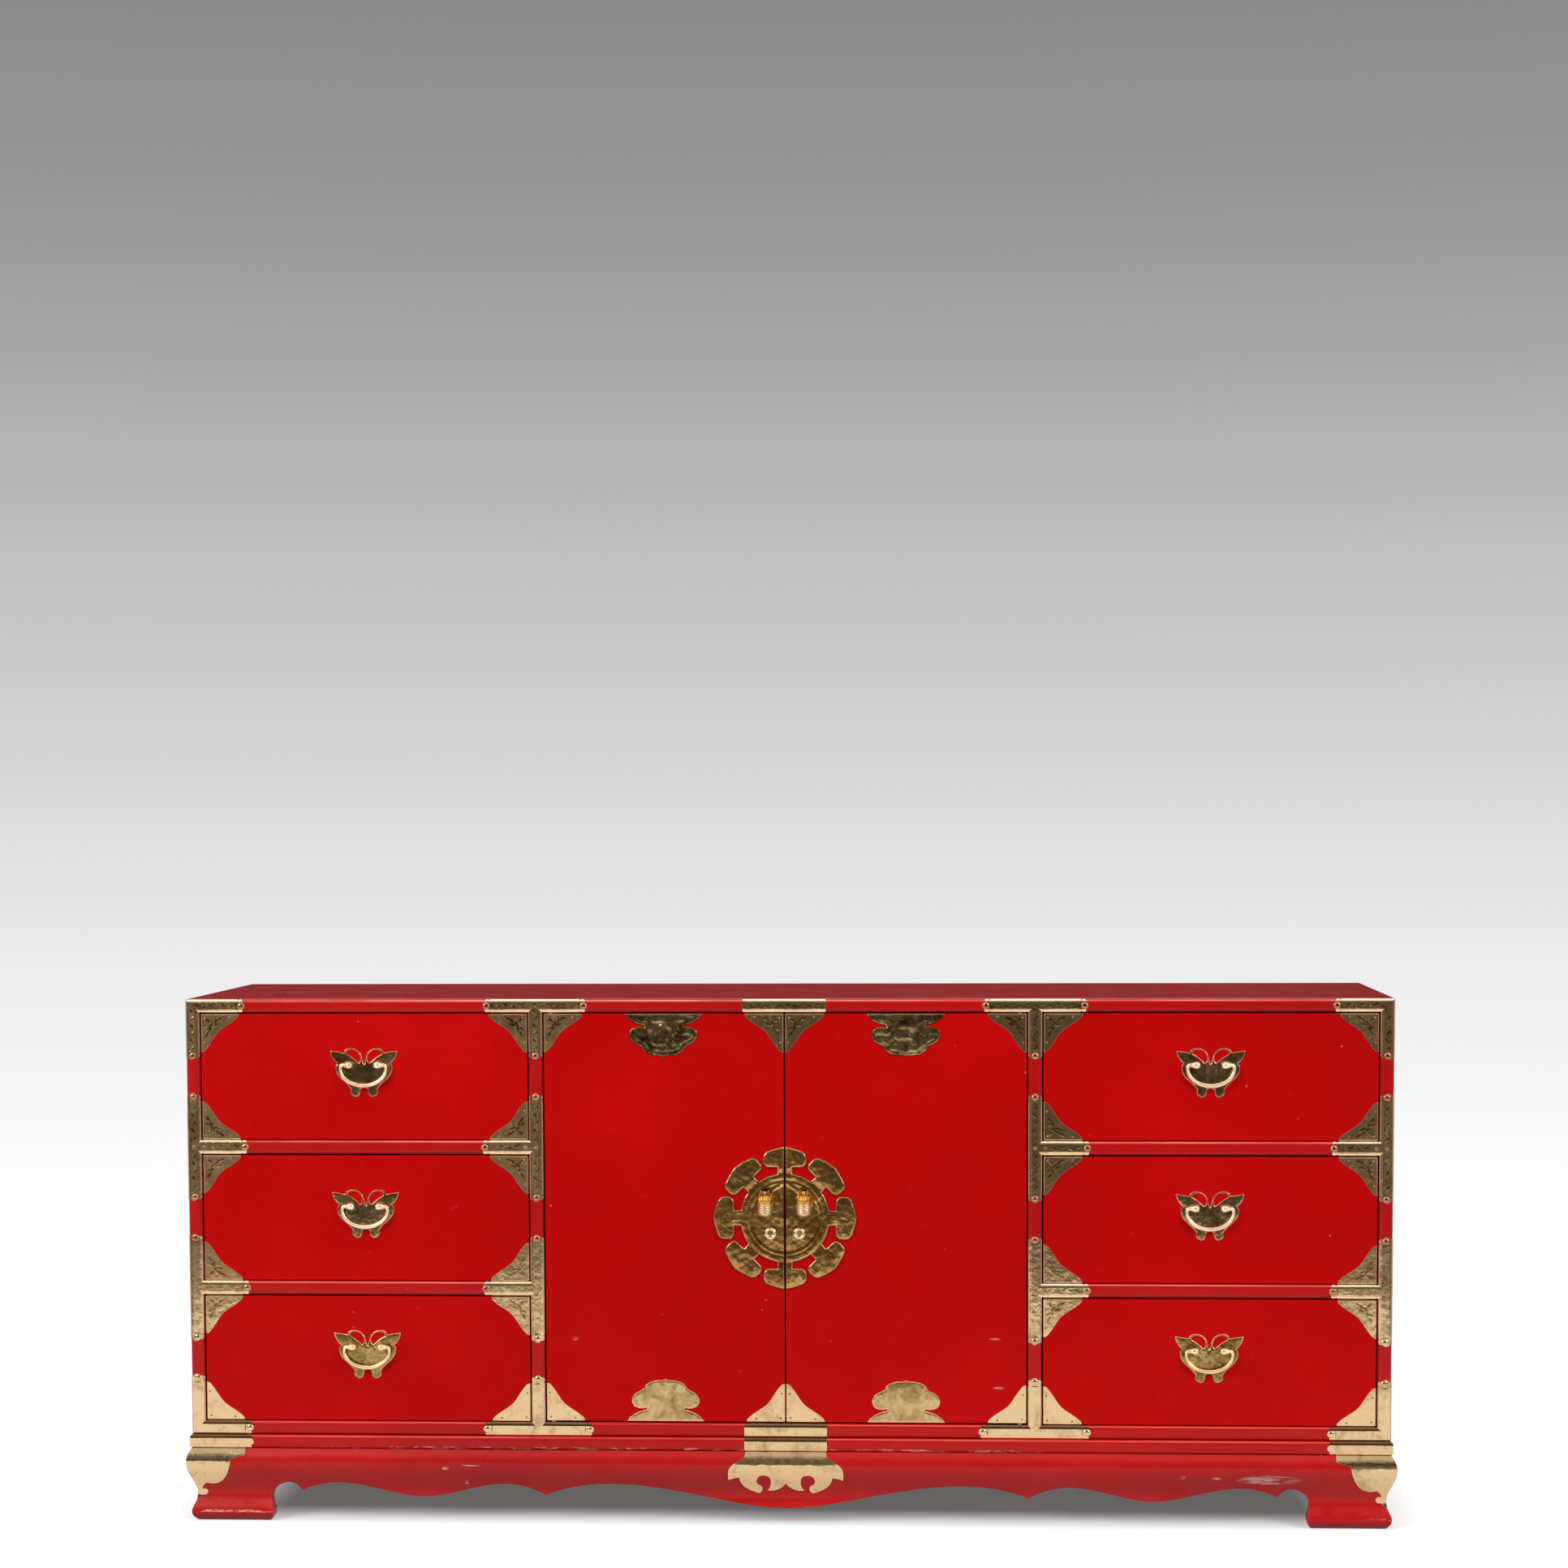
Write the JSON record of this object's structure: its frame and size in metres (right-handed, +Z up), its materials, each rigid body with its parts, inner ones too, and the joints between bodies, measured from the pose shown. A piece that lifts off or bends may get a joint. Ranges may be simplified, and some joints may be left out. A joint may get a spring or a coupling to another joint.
{
  "type": "dresser",
  "caption": "Long low red-lacquered dresser on bracket feet, with banks of drawers beside a double-door cupboard, brass straps, corner plates, bail pulls and a split medallion.",
  "frame": {"origin": "on the floor under the middle of the dresser's bounding box", "axes": "+X along the width to the viewer's right, +Y from the front to the back, +Z up"},
  "size_m": [1.8478, 0.505, 0.8041],
  "materials": {
    "lacquer": "red gloss lacquer",
    "inner_wood": "plain oiled wood",
    "back_board": "bare thin board",
    "brass_sheet": "aged satin",
    "brass_cast": "aged, dark in hollows",
    "hinge_steel": "plain",
    "catch_plastic": "matt"
  },
  "bodies": {
    "case": {"top_panel": "lacquer", "left_side_panel": "lacquer", "right_side_panel": "lacquer", "face_frame_stiles": "lacquer", "face_frame_rails": "lacquer", "base_moulding": "lacquer", "front_apron": "lacquer", "side_aprons": "lacquer", "left_partition": "inner_wood", "right_partition": "inner_wood", "bottom_panel": "inner_wood", "shelf": "inner_wood", "drawer_runners": "inner_wood", "rear_base_rail": "inner_wood", "foot_blocks": "inner_wood", "back_panel": "back_board", "door_catches": "catch_plastic", "case_hinge_leaves": "hinge_steel", "frame_straps": "brass_sheet", "base_mounts": "brass_sheet"},
    "left_bottom_drawer": {"left_bottom_drawer_front": "lacquer", "left_bottom_drawer_box": "inner_wood", "left_bottom_drawer_corner_plates": "brass_sheet", "left_bottom_drawer_pull": "brass_cast"},
    "left_bottom_drawer_handle": {"left_bottom_drawer_bail": "brass_cast"},
    "left_middle_drawer": {"left_middle_drawer_front": "lacquer", "left_middle_drawer_box": "inner_wood", "left_middle_drawer_corner_plates": "brass_sheet", "left_middle_drawer_pull": "brass_cast"},
    "left_middle_drawer_handle": {"left_middle_drawer_bail": "brass_cast"},
    "left_top_drawer": {"left_top_drawer_front": "lacquer", "left_top_drawer_box": "inner_wood", "left_top_drawer_corner_plates": "brass_sheet", "left_top_drawer_pull": "brass_cast"},
    "left_top_drawer_handle": {"left_top_drawer_bail": "brass_cast"},
    "left_door": {"left_door_panel": "lacquer", "left_door_hinge_leaves": "hinge_steel", "left_door_plates": "brass_sheet", "left_door_medallion": "brass_cast"},
    "left_door_drop": {"left_door_drop_pull": "brass_cast"},
    "right_bottom_drawer": {"right_bottom_drawer_front": "lacquer", "right_bottom_drawer_box": "inner_wood", "right_bottom_drawer_corner_plates": "brass_sheet", "right_bottom_drawer_pull": "brass_cast"},
    "right_bottom_drawer_handle": {"right_bottom_drawer_bail": "brass_cast"},
    "right_middle_drawer": {"right_middle_drawer_front": "lacquer", "right_middle_drawer_box": "inner_wood", "right_middle_drawer_corner_plates": "brass_sheet", "right_middle_drawer_pull": "brass_cast"},
    "right_middle_drawer_handle": {"right_middle_drawer_bail": "brass_cast"},
    "right_top_drawer": {"right_top_drawer_front": "lacquer", "right_top_drawer_box": "inner_wood", "right_top_drawer_corner_plates": "brass_sheet", "right_top_drawer_pull": "brass_cast"},
    "right_top_drawer_handle": {"right_top_drawer_bail": "brass_cast"},
    "right_door": {"right_door_panel": "lacquer", "right_door_hinge_leaves": "hinge_steel", "right_door_plates": "brass_sheet", "right_door_medallion": "brass_cast"},
    "right_door_drop": {"right_door_drop_pull": "brass_cast"}
  },
  "joints": [
    {"name": "left_bottom_drawer_slide", "type": "slide", "parent": "case", "child": "left_bottom_drawer", "axis": [0, -1, 0], "range_m": [0, 0.3]},
    {"name": "left_bottom_drawer_bail_hinge", "type": "hinge", "parent": "left_bottom_drawer", "child": "left_bottom_drawer_handle", "pos_m": [-0.6415, -0.2323, 0.2715], "axis": [-1, 0, 0], "range_deg": [0, 80]},
    {"name": "left_middle_drawer_slide", "type": "slide", "parent": "case", "child": "left_middle_drawer", "axis": [0, -1, 0], "range_m": [0, 0.3]},
    {"name": "left_middle_drawer_bail_hinge", "type": "hinge", "parent": "left_middle_drawer", "child": "left_middle_drawer_handle", "pos_m": [-0.6415, -0.2323, 0.488], "axis": [-1, 0, 0], "range_deg": [0, 80]},
    {"name": "left_top_drawer_slide", "type": "slide", "parent": "case", "child": "left_top_drawer", "axis": [0, -1, 0], "range_m": [0, 0.3]},
    {"name": "left_top_drawer_bail_hinge", "type": "hinge", "parent": "left_top_drawer", "child": "left_top_drawer_handle", "pos_m": [-0.6415, -0.2323, 0.7045], "axis": [-1, 0, 0], "range_deg": [0, 80]},
    {"name": "left_door_hinge", "type": "hinge", "parent": "case", "child": "left_door", "pos_m": [-0.356, -0.2185, 0.47], "axis": [0, 0, -1], "range_deg": [0, 90]},
    {"name": "left_door_drop_hinge", "type": "hinge", "parent": "left_door", "child": "left_door_drop", "pos_m": [-0.0295, -0.2395, 0.511], "axis": [-1, 0, 0], "range_deg": [0, 70]},
    {"name": "right_bottom_drawer_slide", "type": "slide", "parent": "case", "child": "right_bottom_drawer", "axis": [0, -1, 0], "range_m": [0, 0.3]},
    {"name": "right_bottom_drawer_bail_hinge", "type": "hinge", "parent": "right_bottom_drawer", "child": "right_bottom_drawer_handle", "pos_m": [0.6415, -0.2323, 0.2715], "axis": [-1, 0, 0], "range_deg": [0, 80]},
    {"name": "right_middle_drawer_slide", "type": "slide", "parent": "case", "child": "right_middle_drawer", "axis": [0, -1, 0], "range_m": [0, 0.3]},
    {"name": "right_middle_drawer_bail_hinge", "type": "hinge", "parent": "right_middle_drawer", "child": "right_middle_drawer_handle", "pos_m": [0.6415, -0.2323, 0.488], "axis": [-1, 0, 0], "range_deg": [0, 80]},
    {"name": "right_top_drawer_slide", "type": "slide", "parent": "case", "child": "right_top_drawer", "axis": [0, -1, 0], "range_m": [0, 0.3]},
    {"name": "right_top_drawer_bail_hinge", "type": "hinge", "parent": "right_top_drawer", "child": "right_top_drawer_handle", "pos_m": [0.6415, -0.2323, 0.7045], "axis": [-1, 0, 0], "range_deg": [0, 80]},
    {"name": "right_door_hinge", "type": "hinge", "parent": "case", "child": "right_door", "pos_m": [0.356, -0.2185, 0.47], "axis": [0, 0, 1], "range_deg": [0, 90]},
    {"name": "right_door_drop_hinge", "type": "hinge", "parent": "right_door", "child": "right_door_drop", "pos_m": [0.0295, -0.2395, 0.511], "axis": [-1, 0, 0], "range_deg": [0, 70]}
  ]
}
